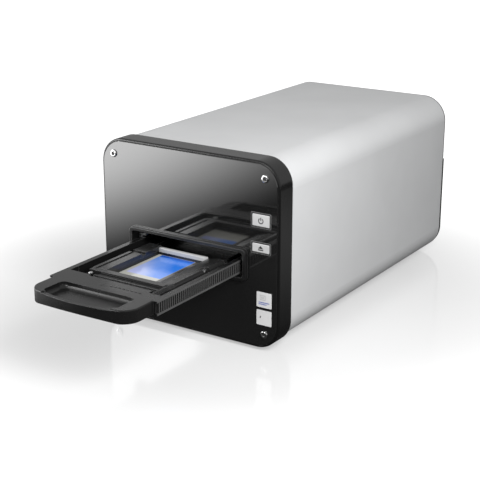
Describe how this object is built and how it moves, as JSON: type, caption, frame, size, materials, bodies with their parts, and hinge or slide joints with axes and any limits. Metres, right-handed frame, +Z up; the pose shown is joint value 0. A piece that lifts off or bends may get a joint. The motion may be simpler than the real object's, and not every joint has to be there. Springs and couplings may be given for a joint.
{
  "type": "film negative scanner",
  "caption": "Boxy desktop film scanner: silver sleeve, black front with slot and two buttons, and a toothed film holder with a hinged cover drawn part way out.",
  "frame": {"origin": "On the desk under the middle of the object as pictured, with the film holder drawn out: the centre of the bottom of its box", "axes": "+Z up, +Y from the front plate towards the rear cover, +X to the right of someone facing the front"},
  "size_m": [0.21, 0.546, 0.189],
  "materials": {
    "satin_silver": "satin anodised sheet",
    "bezel_black": "polished black plastic",
    "plate_black": "gloss black acrylic",
    "collar_black": "dark satin plastic",
    "screw_steel": "bright steel",
    "button_silver": "silver paint",
    "label_white": "plain white sticker",
    "rear_black": "fine textured black plastic",
    "socket_metal": "plated steel",
    "foot_rubber": "matt rubber",
    "zinc_sheet": "zinc plated sheet",
    "cast_grey": "machined aluminium",
    "board_green": "green circuit board",
    "chip_black": "moulded black epoxy",
    "led_yellow": "clear resin over phosphor",
    "diffuser_white": "milky plastic",
    "mirror_face": "front silvered glass",
    "lens_black": "matt black paint",
    "lens_glass": "coated glass",
    "ribbon_white": "flat cable",
    "capacitor_blue": "sleeved can",
    "gear_white": "moulded acetal",
    "gear_brass": "turned brass",
    "motor_black": "black motor case",
    "holder_black": "satin black plastic",
    "cover_black": "satin dark grey plastic",
    "clamp_grey": "light grey plastic",
    "film_blue": "developed film",
    "magnet_nickel": "nickel plate"
  },
  "bodies": {
    "case": {"outer_sleeve": "satin_silver", "front_bezel": "bezel_black", "front_plate": "plate_black", "slot_collar": "collar_black", "plate_screws": "screw_steel", "power_button_frame": "collar_black", "eject_button_frame": "collar_black", "upper_label": "label_white", "lower_label": "label_white", "button_board": "board_green", "button_switches": "chip_black", "rubber_feet": "foot_rubber", "foot_screws": "screw_steel", "rear_cover": "rear_black", "connector_panel": "rear_black", "rear_screws": "screw_steel", "usb_socket": "socket_metal", "dc_jack": "chip_black", "chassis_base": "zinc_sheet", "left_guide_frame": "zinc_sheet", "right_guide_frame": "zinc_sheet", "light_bracket": "zinc_sheet", "light_housing": "cast_grey", "led_board": "board_green", "led_chips": "led_yellow", "light_diffuser": "diffuser_white", "slit_plate": "lens_black", "mirror_bracket": "lens_black", "fold_mirror": "mirror_face", "lens_barrel": "lens_black", "lens_elements": "lens_glass", "lens_clamp": "cast_grey", "sensor_board": "board_green", "image_sensor": "chip_black", "sensor_bracket": "zinc_sheet", "heat_sink": "cast_grey", "sensor_cable": "ribbon_white", "main_board": "board_green", "board_standoffs": "gear_brass", "board_chips": "chip_black", "capacitors": "capacitor_blue", "holder_sensor": "chip_black", "drive_shaft": "screw_steel", "shaft_clip": "screw_steel", "stepper_motor": "motor_black", "motor_bracket": "zinc_sheet"},
    "film_holder": {"holder_tray": "holder_black", "hinge_pin": "screw_steel", "tray_magnets": "magnet_nickel", "locating_post": "screw_steel", "film_strip": "film_blue"},
    "holder_cover": {"cover_frame": "cover_black", "clamp_frame": "holder_black", "rear_clamp_bar": "clamp_grey", "cover_magnets": "magnet_nickel"},
    "power_key": {"power_button": "button_silver"},
    "eject_key": {"eject_button": "button_silver"},
    "double_gear": {"drive_gear": "gear_white"},
    "motor_rotor": {"motor_pinion": "gear_brass", "motor_shaft": "screw_steel"}
  },
  "joints": [
    {"name": "holder_slide", "type": "slide", "parent": "case", "child": "film_holder", "axis": [0, -1, 0], "range_m": [-0.125, 0.07]},
    {"name": "cover_hinge", "type": "hinge", "parent": "film_holder", "child": "holder_cover", "pos_m": [0.047, -0.151, 0.0858], "axis": [0, 1, 0], "range_deg": [0, 100]},
    {"name": "power_button_press", "type": "slide", "parent": "case", "child": "power_key", "axis": [0, 1, 0], "range_m": [0, 0.0015], "stiffness_N_per_m": 900},
    {"name": "eject_button_press", "type": "slide", "parent": "case", "child": "eject_key", "axis": [0, 1, 0], "range_m": [0, 0.0015], "stiffness_N_per_m": 900},
    {"name": "drive_gear_spin", "type": "hinge", "parent": "case", "child": "double_gear", "pos_m": [0.06966, -0.059, 0.073], "axis": [0, 0, 1], "range_deg": [-800, 450]},
    {"name": "motor_spin", "type": "hinge", "parent": "case", "child": "motor_rotor", "pos_m": [0.08346, -0.03929, 0.063], "axis": [0, 0, 1], "range_deg": [-1340, 2390]}
  ],
  "couplings": [
    {"joint": "drive_gear_spin", "follows": "holder_slide", "rad_per_m": 111.11},
    {"joint": "motor_spin", "follows": "holder_slide", "rad_per_m": -333.33}
  ]
}
